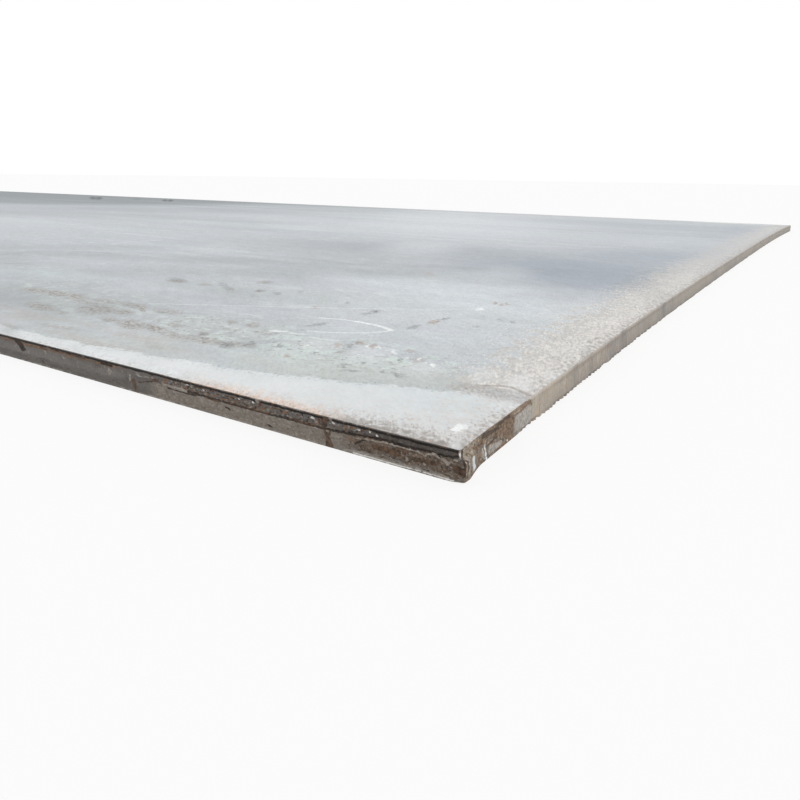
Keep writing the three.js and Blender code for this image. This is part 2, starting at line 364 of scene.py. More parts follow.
relief = {  # height and pitch of the grain, and how many times longer it is down the depth
    "landGrain": (0.07, 1.9, 9),
    "landBands": (0.05, 6, 5),
    "ledgePits": (0.28, 1.6, 1),
    "tornLumps": (0.16, 5.5, 1 / 1.7),
    "tornGrain": (0.1, 1.7, 1),
    "dragLines": (0.09, 0.9, 26),
    "dragBands": (0.07, 2.7, 20),
    "cutSwell": (0.06, 9, 1),
    "cutWander": (0.9, 22, 1),
    "cornerLumps": (0.24, 2.4, 1),
    "cornerGrain": (0.12, 1.1, 1),
}
reliefLimits = {  # where the grain starts and ends, mostly as depths
    "landStart": (0.6, 1.4),
    "landEnd": 0.8,  # above the foot of the land
    "tornStart": (0.4, 2),  # below it
    "tornEnd": (14.8, 15.8),
    "tornSink": 0.1,  # how far a face is sunk to keep its grain inside the outline
    "cutStart": (0.4, 1.6),
    "cutEnd": (15, 16),
    "cutSlant": 0.12,  # how far the drag lines lag a millimetre of depth
    "cutSink": 0.08,
    "cornerEnd": (56, 84),  # along the end
    "cornerSink": 0.14,
    "ledgeEnd": (12, 8),  # before and past the end of the ledge
    "ledgeRoughness": 1.2,
    "farEndShift": 400,  # gives the far end a grain of its own
}


def reliefOf(name, x, y, depth):
    height, pitch, stretch = relief[name]
    return height * grain(x, y, depth / stretch, pitch)


def shearedRelief(x, y, depth):
    p, r = plate, reliefLimits
    along = halfLength - x
    before, past = r["ledgeEnd"]
    ledge = fadeOut(along, p["ledgeRun"] - before, p["ledgeRun"] + past) if y < 0 else 0
    foot = p["landHeight"]
    land = smoothStep(*r["landStart"], depth) * fadeOut(depth, foot - r["landEnd"], foot)
    torn = smoothStep(*(foot + below for below in r["tornStart"]), depth) * fadeOut(depth, *r["tornEnd"])
    nearCorner = fadeOut(along, p["ledgeCornerRun"] - p["ledgeStepRun"], p["ledgeCornerRun"])
    rough = 1 + r["ledgeRoughness"] * ledge * nearCorner
    push = land * (reliefOf("landGrain", x, y, depth) + reliefOf("landBands", x, y, depth))
    lumpy = reliefOf("tornLumps", x, y, depth) + reliefOf("tornGrain", x, y, depth)
    push += torn * rough * (lumpy - r["tornSink"])
    push -= land * ledge * max(0, reliefOf("ledgePits", x, y, depth))
    return push


def cutRelief(x, y, depth):
    r = reliefLimits
    shift = 0 if x > 0 else r["farEndShift"]
    nearCorner = fadeOut(halfWidth + y, *r["cornerEnd"]) if x > 0 else 0
    slant = y + r["cutSlant"] * depth + reliefOf("cutWander", 0, y + shift, depth)
    face = smoothStep(*r["cutStart"], depth) * fadeOut(depth, *r["cutEnd"])
    drag = reliefOf("dragLines", shift, slant, depth) + reliefOf("dragBands", shift, slant, depth)
    lumpy = reliefOf("cornerLumps", shift, y, depth) + reliefOf("cornerGrain", shift, y, depth)
    swell = drag - r["cutSink"] + reliefOf("cutSwell", shift, y, depth)
    return face * mixed(swell, lumpy - r["cornerSink"], nearCorner)


print("edge sections and marks ready")


plateMesh = {
    "nearStep": 0.8,  # distance between sections beside the ledge's corner
    "nearGrowth": 0.0042,
    "endGrowth": 0.0105,
    "farStep": 2.5,  # beside the other corners
    "farGrowth": 0.06,
    "longestSide": 24,
    "longestEnd": 11,
    "rimInsets": [16, 11.5, 8, 5.4, 3.4, 2, 1, 0.4],  # rings of the top face inside the arris
    "wallSplits": [2, 2, 7, 3, 7, 8, 3, 3],  # rings between neighbouring rows of a section
    "footInsets": [1.2, 4, 12],
    "frontMarks": 430,  # strokes are looked for this far from the corner
    "endMarks": 95,
    "edgeBand": 0.8,  # a place of the outline this near an edge gets the edge's relief
    "stillRim": 0.6,  # the relief dies out over this depth at the top and at the foot
    "ringTurn": (6, 4),  # a ring turns a corner over so many times its inset, and so much more
}


def gradedSteps(length, startStep, startGrowth, endStep, endGrowth, longest):
    places = [0.0]
    while places[-1] < length:
        here = places[-1]
        step = min(startStep + startGrowth * here, endStep + endGrowth * max(0, length - here), longest)
        places.append(here + step)
    stretch = length / places[-1]
    return [p * stretch for p in places[:-1]]


def outlinePlaces():
    m = plateMesh
    radius, steps = plate["cornerRadius"], plate["cornerSteps"]
    alongX, alongY = halfLength - radius, halfWidth - radius
    near, far = (m["nearStep"], m["nearGrowth"]), (m["farStep"], m["farGrowth"])
    places = []

    def corner(x, y, startAngle):
        for i in range(steps):
            angle = startAngle + math.pi / 2 * i / steps
            places.append((x + radius * math.cos(angle), y + radius * math.sin(angle)))

    for s in gradedSteps(2 * alongY, m["nearStep"], m["endGrowth"], *far, m["longestEnd"]):
        places.append((halfLength, -alongY + s))
    corner(alongX, alongY, 0)
    for s in gradedSteps(2 * alongX, *far, *far, m["longestSide"]):
        places.append((alongX - s, halfWidth))
    corner(-alongX, alongY, math.pi / 2)
    for s in gradedSteps(2 * alongY, *far, *far, m["longestEnd"]):
        places.append((-halfLength, alongY - s))
    corner(-alongX, -alongY, math.pi)
    for s in gradedSteps(2 * alongX, *far, *near, m["longestSide"]):
        places.append((-alongX + s, -halfWidth))
    corner(alongX, -alongY, 1.5 * math.pi)
    return places


def finePlaces(section):  # (depth, inset) of every wall ring, between the section's own rows
    fine = []
    for here, below, splits in zip(section, section[1:], plateMesh["wallSplits"]):
        fine += [[mixed(*pair, i / splits) for pair in zip(here, below)] for i in range(splits)]
    return fine + [section[-1]]


def columnAt(x, y):  # every ring's point at one place on the outline, with its marks
    m = plateMesh
    endShare = fadeOut(halfLength - abs(x), 0, plate["cornerReach"])
    sideShare = fadeOut(halfWidth - abs(y), 0, plate["cornerReach"])
    nearLedge = x > 0 and y < 0
    onSide = halfWidth - abs(y) < m["edgeBand"]
    onEnd = halfLength - abs(x) < m["edgeBand"]
    column = []
    sheared, cut = finePlaces(shearedSection(x, y)), finePlaces(cutSection(x, y))
    for (sideDepth, sideInset), (endDepth, endInset) in zip(sheared, cut):
        depth = mixed(endDepth, sideDepth, sideShare)
        endIn, sideIn = endInset * endShare, sideInset * sideShare
        marks = dict.fromkeys(markKinds, 0)
        sidePush = shearedRelief(x, y, depth) if onSide else 0
        endPush = cutRelief(x, y, depth) if onEnd else 0
        if nearLedge and onSide and halfLength - x < m["frontMarks"]:
            marks = marksAt(frontStrokes, arrisCorner[0] - x + endIn, depth)
            sidePush += sum(marks[kind] * markRise[kind] for kind in markKinds)
        elif nearLedge and halfWidth + y < m["endMarks"]:
            marks = marksAt(endStrokes, y + sideIn - arrisCorner[1], depth)
            endPush += sum(marks[kind] * markRise[kind] for kind in markKinds)
        inside = smoothStep(0, m["stillRim"], depth) * fadeOut(depth, thickness - m["stillRim"], thickness)
        endIn = max(0, endIn - endPush * inside)
        sideIn = max(0, sideIn - sidePush * inside)
        column.append((x - math.copysign(endIn, x), y - math.copysign(sideIn, y), thickness - depth, marks))
    return column


def innerPoint(point, inset, z):  # a point of the rim moved in over the face
    x, y, *_ = point
    times, more = plateMesh["ringTurn"]
    turn = times * inset + more
    endShare = fadeOut(halfLength - abs(x), 0, turn)
    sideShare = fadeOut(halfWidth - abs(y), 0, turn)
    return (x - math.copysign(inset * endShare, x), y - math.copysign(inset * sideShare, y), z)


def newObject(name, bm):
    mesh = bpy.data.meshes.new(name)
    bm.to_mesh(mesh)
    bm.free()
    made = bpy.data.objects.new(name, mesh)
    scene.collection.objects.link(made)
    return made


def buildPlate():
    places = outlinePlaces()
    columns = [columnAt(x, y) for x, y in places]
    bm = bmesh.new()
    markLayers = {kind: bm.verts.layers.float.new(kind) for kind in markKinds}
    ring = bmesh.ops.create_circle(bm, cap_ends=False, segments=len(places), radius=halfLength * mm)["verts"]

    def ringEdges(verts):
        return [bm.edges.get((verts[i], verts[(i + 1) % len(verts)])) for i in range(len(verts))]

    def placeRing(verts, points, marks=None):
        for i, (vert, point) in enumerate(zip(verts, points)):
            vert.co = Vector(point[:3]) * mm
            for kind in markKinds:
                vert[markLayers[kind]] = marks[i][kind] if marks else 0

    def extrudeRing(verts):
        made = bmesh.ops.extrude_edge_only(bm, edges=ringEdges(verts))["geom"]
        faces = [g for g in made if isinstance(g, bmesh.types.BMFace)]
        new = {g for g in made if isinstance(g, bmesh.types.BMVert)}
        follows = []
        for vert in verts:
            follows.append(next(e.other_vert(vert) for e in vert.link_edges if e.other_vert(vert) in new))
        return follows, faces

    arris = [column[0] for column in columns]
    foot = [column[-1] for column in columns]
    outerInset, *insets = plateMesh["rimInsets"]
    placeRing(ring, [innerPoint(p, outerInset, thickness) for p in arris])
    rolledFaces = bmesh.ops.edgeloop_fill(bm, edges=list(bm.edges))["faces"]
    for inset in insets:
        ring, faces = extrudeRing(ring)
        rolledFaces += faces
        placeRing(ring, [innerPoint(p, inset, thickness) for p in arris])
    for row in range(len(columns[0])):
        ring, faces = extrudeRing(ring)
        if row == 0:
            rolledFaces += faces
        placeRing(ring, [column[row] for column in columns], [column[row][3] for column in columns])
    for inset in plateMesh["footInsets"]:
        ring, faces = extrudeRing(ring)
        rolledFaces += faces
        placeRing(ring, [innerPoint(p, inset, 0) for p in foot])
    rolledFaces += bmesh.ops.edgeloop_fill(bm, edges=ringEdges(ring))["faces"]
    bmesh.ops.recalc_face_normals(bm, faces=bm.faces)

    rolled = set(rolledFaces)
    for face in bm.faces:
        face.smooth = True
        centre = face.calc_center_median() / mm
        onSide = halfWidth - abs(centre.y) < halfLength - abs(centre.x)
        face.material_index = 0 if face in rolled else 1 if onSide else 2
    return newObject("plate", bm)


piece = buildPlate()
print("plate mesh:", len(piece.data.vertices), "vertices,", len(piece.data.polygons), "faces,",
      sum(len(p.vertices) - 2 for p in piece.data.polygons), "triangles")


def feed(node, inputs):  # values and links for inputs; a node given stands for its first live output
    for key, value in inputs.items():
        if isinstance(value, bpy.types.Node):
            value = next(output for output in value.outputs if output.enabled)
        if isinstance(value, bpy.types.NodeSocket):
            node.id_data.links.new(value, node.inputs[key])
        else:
            node.inputs[key].default_value = value


def addNode(tree, kind, *values, inputs=None, **settings):  # values fill the first inputs in their order
    node = tree.nodes.new("ShaderNode" + kind)
    for name, value in settings.items():
        setattr(node, name, value)
    feed(node, {**dict(enumerate(values)), **(inputs or {})})
    return node


def freshNodes(owner):  # empties the nodes of a material or a world, and gives what adds new ones to it
    owner.use_nodes = True
    owner.node_tree.nodes.clear()
    return partial(addNode, owner.node_tree)


def startMaterial(name, finish):
    material = bpy.data.materials.new(name)
    add = freshNodes(material)
    shader = add("BsdfPrincipled", inputs=finish)
    add("OutputMaterial", shader)
    middle = add("TexCoord").outputs["Object"]
    corner = (-arrisCorner[0], -arrisCorner[1], -thickness)
    place = add("Mapping", middle, corner, (0, 0, 0), (1 / mm,) * 3)
    return material, add, shader, place


smooth = {"interpolation_type": "SMOOTHSTEP"}
seedStrides = (613.7, 271.3, 94.1)  # two seeds' patterns lie this far apart


# Smooth noise whose lumps are about size millimetres long each way before they are turned.
def lumps(add, place, size, seed=0, detail=2, turn=0, rough=0.55):
    location = [seed * stride for stride in seedStrides]
    local = add("Mapping", place, location, (0, 0, math.radians(turn)), size, vector_type="TEXTURE")
    return add("TexNoise", local, inputs={"Scale": 1, "Detail": detail, "Roughness": rough})


# A place shifted by a noise, by up to half the reach each way.
def shifted(add, place, reach, pattern):
    pattern = lumps(add, place, *pattern).outputs["Color"]
    shift = add("VectorMath", pattern, reach, [-side / 2 for side in reach], operation="MULTIPLY_ADD")
    return add("VectorMath", place, shift, operation="ADD")


def narrow(add, masks, name, value, start, end):  # keeps a mask only where a value is past its ramp
    share = add("MapRange", value, start, end, **smooth)
    if name in masks:
        share = add("Math", share, masks[name], operation="MULTIPLY")
    masks[name] = share


def paintOver(add, colour, coats):  # lays coats over a colour, each a share and the coat's own colour
    for share, paint in coats:
        paint = hexColour(paint) if isinstance(paint, str) else paint
        colour = add("Mix", share, inputs={6: colour, 7: paint}, data_type="RGBA")
    return colour


# Patchy coats. A row is its colour, its strength, the size of its lumps, where their noise starts and
# ends to cover, then their detail and roughness if they aren't the usual ones. A coat holds inside
# the masks that within names, and gets thinner by so much a millimetre along a distance mask.
def coatList(*rows, within="", turn=0, thinning=None):
    names = ("colour", "strength", "size", "low", "high", "detail", "rough")
    shared = {"detail": 2, "rough": 0.55, "turn": turn, "thinning": thinning, "within": within.split()}
    return [{**shared, **dict(zip(names, row))} for row in rows]


# The generator makes each coat's nodes just before its colour is laid, because a shader can hold
# only so many values at once.
def addCoats(add, place, colour, coats, masks, firstSeed):
    def shares():
        for seed, coat in enumerate(coats, firstSeed):
            share = lumps(add, place, coat["size"], seed, coat["detail"], coat["turn"], coat["rough"])
            if coat["thinning"]:
                distance, slope = coat["thinning"]
                share = add("Math", masks[distance], -slope, share, operation="MULTIPLY_ADD")
            share = add("MapRange", share, coat["low"], coat["high"], 0, coat["strength"], **smooth)
            for mask in coat["within"]:
                share = add("Math", share, masks[mask], operation="MULTIPLY")
            yield share, coat["colour"]

    return paintOver(add, colour, shares())


spotDepth = 9  # a spot's half height, which keeps it on the top face


# How much of the strongest of some soft spots a place has. A spot is its place, its half
# length and half width, its turn in degrees and its strength.
def spotShare(add, place, spots, soft):
    strongest = None
    for x, y, halfLong, halfShort, turn, strength in spots:
        size = [half * (1 + soft) for half in (halfLong, halfShort, spotDepth)]
        local = add("Mapping", place, (x, y, 0), (0, 0, math.radians(turn)), size, vector_type="TEXTURE")
        inside = add("TexGradient", local, gradient_type="SPHERICAL").outputs["Fac"]
        share = add("MapRange", inside, 0, 2 * soft / (1 + soft), 0, strength, **smooth)
        strongest = add("Math", strongest, share, operation="MAXIMUM") if strongest else share
    return strongest


def spotCoats(add, place, groups):
    for colour, soft, spots in groups:
        yield spotShare(add, place, spots, soft), colour


lineRamp = (1.6, 0.4)  # shares of its half width between which a line appears


def lineShare(add, place, points, halfBreadth):  # how much of a thin line through points a place has
    nearest = None
    for start, end in zip(points, points[1:]):
        run = Vector((*end, 0)) - Vector((*start, 0))
        fromStart = add("VectorMath", place, (*start, 0), operation="SUBTRACT")
        reached = add("VectorMath", fromStart, run / run.length_squared, operation="DOT_PRODUCT")
        foot = add("VectorMath", run, operation="SCALE", inputs={"Scale": add("Clamp", reached)})
        gap = add("VectorMath", fromStart, foot, operation="DISTANCE")
        nearest = add("Math", nearest, gap, operation="MINIMUM") if nearest else gap
    return add("MapRange", nearest, *(share * halfBreadth for share in lineRamp), **smooth)


# Hot-rolled mill scale, the blue-grey oxide skin left by rolling: matt, with soft bands along the
# rolling direction, cloudy patches, loose flakes near the sheared edge and a whitish crust
# thrown up along the flame cuts. Its pale, slightly bluish, dusty colour is partly painted
# reflection: the darker scale is painted as pale as the sky's grazing sheen makes it look.
# Painted highlights lie beside the ledge's corner, and painted shade lies along the flame-cut arris.
millScale = {
    # partly painted reflection: paler than the bare scale, as the sky's grazing sheen shows it
    "colour": "#c0c4c9",
    "finish": {"Metallic": 0.15, "Roughness": 0.56},
    "coats": [
        *coatList(
            ("#b0b8bf", 0.35, (620, 280, 90), 0.48, 0.72), ("#d3dadd", 0.35, (520, 230, 90), 0.48, 0.7),
            ("#adb5bb", 0.4, (1900, 44, 60), 0.5, 0.75), ("#d6dcdf", 0.35, (1500, 60, 60), 0.52, 0.74),
            ("#b4babc", 0.3, (420, 13, 60), 0.5, 0.72), ("#b9c1c0", 0.4, (130, 60, 60), 0.48, 0.68, 4),
            ("#dbe1e3", 0.3, (50, 26, 30), 0.52, 0.72, 4)),
    ],
    "clouds": [  # colour, softness and spots
        ("#929ca9", 0.7, [
            (-150, 630, 200, 140, -28, 0.78), (-120, 850, 130, 170, 0, 0.55),
            (-330, 760, 330, 90, 10, 0.32), (-220, 1640, 420, 170, 0, 0.34), (-80, 650, 60, 110, 0, 0.22),
            (-160, 1330, 130, 230, 0, 0.26), (-2500, 1400, 900, 500, 10, 0.26),
        ]),
        ("#8b9092", 0.8, [
            (-560, 690, 280, 130, 12, 0.3), (-470, 508, 190, 17, 0, 0.35), (-520, 470, 420, 36, 24, 0.3),
            (-535, 335, 290, 42, 38, 0.26), (-930, 400, 140, 40, 40, 0.24),
            (-1850, 1250, 520, 170, 34, 0.3), (-428, 118, 60, 20, -18, 0.26), (-410, 10, 22, 9, 0, 0.4),
            (-330, 470, 150, 40, 10, 0.4), (-850, 330, 130, 40, 30, 0.35), (-470, 385, 90, 34, -30, 0.25),
            (-545, 92, 110, 40, -8, 0.4), (-1900, 900, 600, 120, 14, 0.3), (-3100, 1750, 900, 210, 10, 0.3),
            (-2000, 1900, 700, 60, 3, 0.3), (-520, 150, 170, 50, -14, 0.25),
            (-740, 210, 270, 60, -27, 0.16), (-440, 102, 80, 30, -15, 0.22), (-350, 490, 110, 26, 49, 0.24),
            (-262, 66, 40, 20, -10, 0.2),
        ]),
        ("#d6e2e2", 0.8, [
            (-165, 84, 66, 17, 0, 0.6), (-250, 20, 90, 13, 0, 0.5), (-740, 190, 130, 30, 10, 0.3),
        ]),
        ("#dbe1e6", 0.8, [
            (-210, 400, 170, 90, -20, 0.5), (-330, 1200, 700, 130, 4, 0.35), (-700, 1500, 330, 140, 0, 0.3),
            (-90, 185, 60, 50, 0, 0.3), (-84, 112, 24, 20, 0, 0.3), (-186, 168, 30, 26, 0, 0.35),
        ]),
        ("#868e91", 0.22, [
            (-3100, 1950, 1080, 920, 0, 0.85), (-4000, 1750, 700, 420, 14, 0.5),
        ]),
    ],
    "toneSpotsAndHighlights": [  # faint darker and lighter spots over everything else; some lighter ones are painted highlights
        ("#848a8d", 0.7, [
            (-829, 230, 175, 24, -27, 0.16), (-561, 91, 79, 23, -25, 0.16), (-452, 69, 51, 20, -26, 0.16),
            (-434, 107, 41, 29, -3, 0.22), (-385, 66, 27, 16, -20, 0.12), (-708, 328, 97, 51, -29, 0.09),
            (-617, 401, 86, 68, 22, 0.11), (-353, 479, 63, 47, 45, 0.24), (-473, 409, 66, 58, 25, 0.1),
            (-223, 89, 20, 17, -15, 0.2), (-269, 96, 19, 15, -8, 0.1), (-218, 51, 16, 13, 8, 0.1),
            (-64, 575, 53, 28, -87, 0.22), (-70, 704, 67, 25, -82, 0.16), (-27, 498, 42, 16, -82, 0.16),
            (-114, 424, 33, 20, -81, 0.16), (-142, 403, 32, 20, -77, 0.12), (-4, 205, 17, 5, -74, 0.2),
            (-410, 10, 24, 7, -25, 0.3), (-317, 1241, 238, 122, -83, 0.12),
            (-1128, 986, 183, 99, -44, 0.12), (-480, 560, 150, 60, -20, 0.12),
            (-390, 235, 60, 34, -10, 0.18), (-1007, 323, 138, 20, -27, 0.14),
            (-490, 244, 46, 32, -27, 0.09), (-465, 273, 40, 32, -19, 0.1),
        ]),
        ("#eef1f3", 0.7, [
            (-836, 1499, 503, 202, -64, 0.22), (-488, 762, 104, 63, -64, 0.3),
            (-756, 536, 83, 42, -39, 0.12), (-136, 116, 22, 14, -54, 0.35), (-182, 119, 19, 15, -44, 0.28),
            # painted highlight: the second spot on this line, below the scorch line
            (-19, 113, 19, 8, -70, 0.4), (-8, 72, 10, 7, -73, 0.4), (-46, 120, 14, 9, -71, 0.3),
            (-87, 107, 14, 10, -63, 0.35), (-274, 13, 19, 13, 16, 0.3), (-217, 20, 18, 13, 10, 0.35),
            (-132, 27, 21, 14, 30, 0.3), (-173, 18, 14, 11, -13, 0.2), (-238, 570, 61, 34, -72, 0.2),
            (-510, 193, 44, 29, -21, 0.14), (-7, 139, 14, 6, -73, 0.3), (-212, 226, 54, 31, 37, 0.12),
            # painted highlight at the tip of the ledge's corner
            (-4, 3, 7, 3, -60, 0.5),
        ]),
    ],
    "firstSeeds": {"coats": 1, "sideCoats": 11, "crustCoats": 31, "mottling": 61},
    "patchSoft": 0.6,
    "patches": [  # where flakes and dried puddles mottle the skin
        (-150, 108, 92, 38, 4, 1), (-270, 112, 90, 40, -6, 0.9), (-450, 120, 110, 46, -14, 0.45),
        (-570, 145, 90, 40, -15, 0.4), (-440, 275, 120, 22, -30, 0.4), (-250, 240, 120, 60, -40, 0.2),
    ],
    "streaks": [  # where dried mud and loose scale lie in trails
        (-573, 125, 22, 9, -4, 0.8), (-539, 127, 21, 9, -9, 1), (-508, 128, 20, 8, -16, 1),
        (-462, 131, 19, 7, -2, 0.7), (-421, 132, 20, 7, -8, 0.8), (-403, 130, 18, 3, -36, 1),
        (-371, 133, 18, 8, -4, 0.6), (-483, 79, 26, 8, -10, 0.9), (-442, 74, 8, 4, -17, 0.7),
        (-430, 101, 22, 14, -15, 1), (-473, 116, 26, 5, -2, 0.7), (-402, 107, 14, 7, -18, 0.9),
        (-380, 80, 12, 5, -8, 0.8), (-350, 80, 21, 9, -17, 1), (-322, 81, 19, 6, -16, 1),
        (-294, 75, 17, 5, -14, 0.9), (-261, 77, 20, 7, -7, 0.9), (-230, 82, 15, 7, 12, 0.9),
        (-511, 257, 15, 8, -8, 0.9), (-466, 259, 10, 6, -19, 0.5), (-420, 255, 9, 4, -31, 0.7),
        (-426, 309, 10, 7, -40, 0.7), (-385, 264, 8, 5, -40, 0.8), (-291, 135, 9, 4, -41, 0.6),
        (-269, 137, 10, 5, -42, 0.7), (-276, 91, 6, 4, -32, 0.8), (-388, 40, 25, 5, 6, 0.5),
        (-272, 42, 9, 4, -3, 0.5), (-321, 98, 10, 4, -36, 0.6),
    ],
    "mottling": [
        *coatList(
            ("#c3c8c2", 0.4, (70, 34, 30), 0.36, 0.56, 3), ("#d3dfdb", 0.75, (17, 15, 9), 0.54, 0.58, 3),
            within="mottled"),
        *coatList(("#99918a", 0.6, (13, 8, 9), 0.56, 0.66, 4, 0.7), turn=20, within="mottled"),
        *coatList(
            ("#7d756e", 0.75, (4.5, 4.5, 9), 0.63, 0.68), ("#eef2f0", 0.7, (5, 5, 9), 0.66, 0.7),
            within="mottled"),
        *coatList(
            ("#a19f9c", 0.92, (6, 5, 9), 0.36, 0.52, 4, 0.8),
            ("#78736e", 0.9, (3.6, 3, 9), 0.51, 0.58, 3, 0.7),
            ("#d5cfc9", 0.8, (3.2, 2.8, 9), 0.53, 0.6, 3, 0.7), within="streaked"),
    ],
    "sideCoats": [
        *coatList(("#c0c4bd", 0.55, (90, 40, 60), 0.3, 0.6), within="olive"),
        *coatList(("#bab7b3", 0.65, (80, 18, 60), 0.36, 0.62, 3), within="dusty"),
        *coatList(("#dfe3e4", 0.92, (14, 9, 30), 0.4, 0.6, 3), thinning=("pastPale", 0.05)),
        *coatList(("#cddbe1", 0.35, (90, 40, 30), 0.4, 0.62), within="pale"),
        *coatList(("#dedfdf", 0.8, (6, 8, 9), -0.06, 0.66),
            turn=36, thinning=("sideGap", 0.006), within="pale"),
        *coatList(("#d6d3d0", 0.7, (6, 8, 9), 0.06, 0.64),
            turn=36, thinning=("endGap", 0.006), within="pale"),
        *coatList(("#dfcbbc", 0.8, (3, 6, 9), 0.12, 0.46, 3, 0.6),
            turn=36, thinning=("sideGap", 0.022), within="peach"),
        *coatList(("#dfb096", 0.5, (1.8, 4, 9), 0.46, 0.62),
            turn=36, thinning=("sideGap", 0.01), within="peach"),
        *coatList(("#a39a91", 0.6, (1.6, 4, 9), 0.34, 0.6),
            turn=36, thinning=("sideGap", 0.03), within="peach"),
        *coatList(("#aaa49d", 0.8, (2, 4.4, 9), 0.3, 0.66, 3, 0.7),
            turn=36, thinning=("sideGap", 0.0075), within="dustyRim"),
        *coatList(("#8f867e", 0.8, (2.2, 4.6, 9), 0.22, 0.56, 3, 0.6),
            turn=36, thinning=("sideGap", 0.017), within="dustyRim"),
        # painted shade: darkens the top face along the flame-cut arris
        *coatList(("#99938d", 0.8, (2.2, 4.6, 9), 0.28, 0.6, 3, 0.6),
            turn=36, thinning=("endGap", 0.013), within="pale"),
        *coatList(("#8f8a86", 0.45, (1.8, 4, 9), 0.5, 0.64),
            turn=36, thinning=("sideGap", 0.012), within="pale"),
        *coatList(("#8d9494", 0.5, (2.4, 4.4, 9), 0.59, 0.66), turn=36, within="paleRim"),
        *coatList(("#f2f4f4", 0.6, (3, 5, 9), 0.63, 0.68), turn=36, within="paleRim dusty"),
        *coatList(("#7b8286", 0.8, (900, 60, 30), 0.05, 0.45),
            thinning=("sideGap", 0.0006), within="farSide"),
    ],
    "crustCoats": [
        *coatList(("#c8c5c1", 0.9, (12, 14, 9), 0.36, 0.62, 3),
            thinning=("pastCrust", 0.007), within="crust"),
        *coatList(("#d9d6d2", 0.65, (20, 26, 9), 0.3, 0.6), thinning=("endGap", 0.006), within="crust"),
        *coatList(("#aba6a1", 0.55, (1.9, 6, 9), 0.5, 0.7, 2, 0.65),
            turn=17, thinning=("pastCrust", 0.001), within="crust crustNear"),
        *coatList(("#e8e5e0", 0.75, (1.8, 6, 9), 0.46, 0.68, 2, 0.65),
            turn=18, thinning=("pastCrust", 0.003), within="crust crustNear"),
        *coatList(("#cbae96", 0.45, (3, 4, 9), 0.62, 0.7), within="crustZone"),
        *coatList(
            ("#b0a7a1", 0.6, (2.2, 5, 9), 0.3, 0.6, 3, 0.7),
            ("#988678", 0.6, (1.8, 4, 9), 0.54, 0.64, 3, 0.7),
            ("#dedad6", 0.7, (1.8, 4, 9), 0.56, 0.66, 3, 0.7), turn=36, within="scorch"),
        *coatList(("#a7afb8", 0.34, (60, 60, 30), 0.1, 0.6), within="crustFar"),
        # painted shade: darkens the crust along the flame-cut arris
        *coatList(("#918c87", 0.7, (3, 7, 9), 0.26, 0.6, 3),
            turn=20, thinning=("endGap", 0.013), within="crust"),
    ],
    "flakesAndHighlight": [
        ("#171513", 0.5, [
            (-2951, 1746, 200, 15, -33, 1), (-2913, 1751, 200, 15, -34, 1), (-2509, 1818, 125, 12, -38, 1),
            (-2476, 1822, 125, 12, -39, 1), (-2703, 1811, 90, 18, -36, 0.4),
        ]),
        ("#7f8283", 0.5, [
            (-157, 210, 9, 4, -86, 0.7), (-220, 237, 12, 5, 73, 0.6), (-219, 244, 8, 4, -70, 1),
            (-227, 170, 11, 4, 78, 0.8), (-152, 255, 8, 3, 88, 0.8), (-267, 265, 5, 2, -53, 0.6),
            (-110, 280, 5, 2, -67, 0.6), (-97, 277, 6, 2, -67, 0.7), (-116, 243, 4, 3, -73, 0.5),
            (-161, 128, 6.1, 2.6, -53, 1), (-161, 140, 4.7, 2.3, -54, 0.8), (-109, 117, 4.5, 2.2, -58, 1),
            (-234, 76, 9, 4.9, -30, 0.9), (-224, 92, 6, 3.2, -37, 0.8), (-203, 98, 4.6, 2.2, -45, 0.8),
            (-132, 84, 4.9, 2.4, -52, 0.8), (-121, 75, 6.5, 3, 29, 0.6), (-90, 85, 7, 2.4, -37, 0.7),
            (-276, 91, 5, 2.6, -33, 0.8), (-517, 263, 22.6, 8, -22, 0.6), (-440, 265, 34, 5, -33, 0.5),
            (-423, 315, 14, 5.8, -40, 0.5), (-387, 265, 9, 3.6, -44, 0.6), (-359, 263, 9, 4.4, -41, 0.6),
            (-347, 286, 6.5, 3, -48, 0.6), (-131, 79, 2.9, 2.2, -49, 0.8), (-125, 96, 3, 2.1, -54, 0.7),
            (-101, 86, 2.8, 2, -57, 0.7),
        ]),
        ("#a58d79", 0.5, [
            (-153, 237, 8, 4, -72, 0.9), (-149, 352, 7, 2, -65, 0.9), (-141, 349, 7, 2, -66, 0.8),
            (-138, 356, 8, 2, -66, 0.8), (-307, 490, 18, 6, -60, 0.4), (-278, 228, 7, 3, -49, 0.5),
            (-146, 138, 5.6, 3, -55, 0.9), (-159, 140, 4.8, 4, -52, 0.7), (-117, 142, 4.4, 3.2, -66, 0.6),
            (-98, 124, 6.6, 4.4, -68, 0.5), (-169, 124, 6.1, 3, -51, 0.6), (-178, 79, 4, 2.2, -44, 0.9),
        ]),
        ("#f6f8f8", 0.5, [
            (-148, 316, 8, 4.4, -80, 1), (-126, 132, 7.5, 2.6, -39, 0.9), (-99, 126, 3.3, 1.6, -59, 0.9),
            (-149, 134, 4.2, 2, -54, 0.9), (-141, 136, 4, 1.4, -55, 0.9), (-83, 118, 4.9, 1.7, -60, 0.9),
            # painted highlight on the top face beside the ledge's corner
            (-13.1, 25.2, 6.4, 2.9, -88, 1.5), (-13.9, 23.6, 4.6, 2.6, -78, 1.5),
        ]),
    ],
    "lines": [  # colour, half width, strength and points
        ("#eef2f3", 1.9, 0.8, [(-242, 193), (-224, 199), (-208, 200)]),
        ("#f6f8f8", 2.2, 1, [(-208, 200), (-190, 198), (-177, 195), (-165, 189)]),
        ("#eef2f3", 1.6, 0.8, [(-165, 187), (-166, 182), (-174, 171), (-187, 161), (-201, 153), (-216, 147)]),
        ("#f2f5f5", 2.4, 0.95, [(-241, 130), (-231, 135)]),
        ("#eaeeee", 2, 0.75, [(-224, 133), (-213, 136)]),
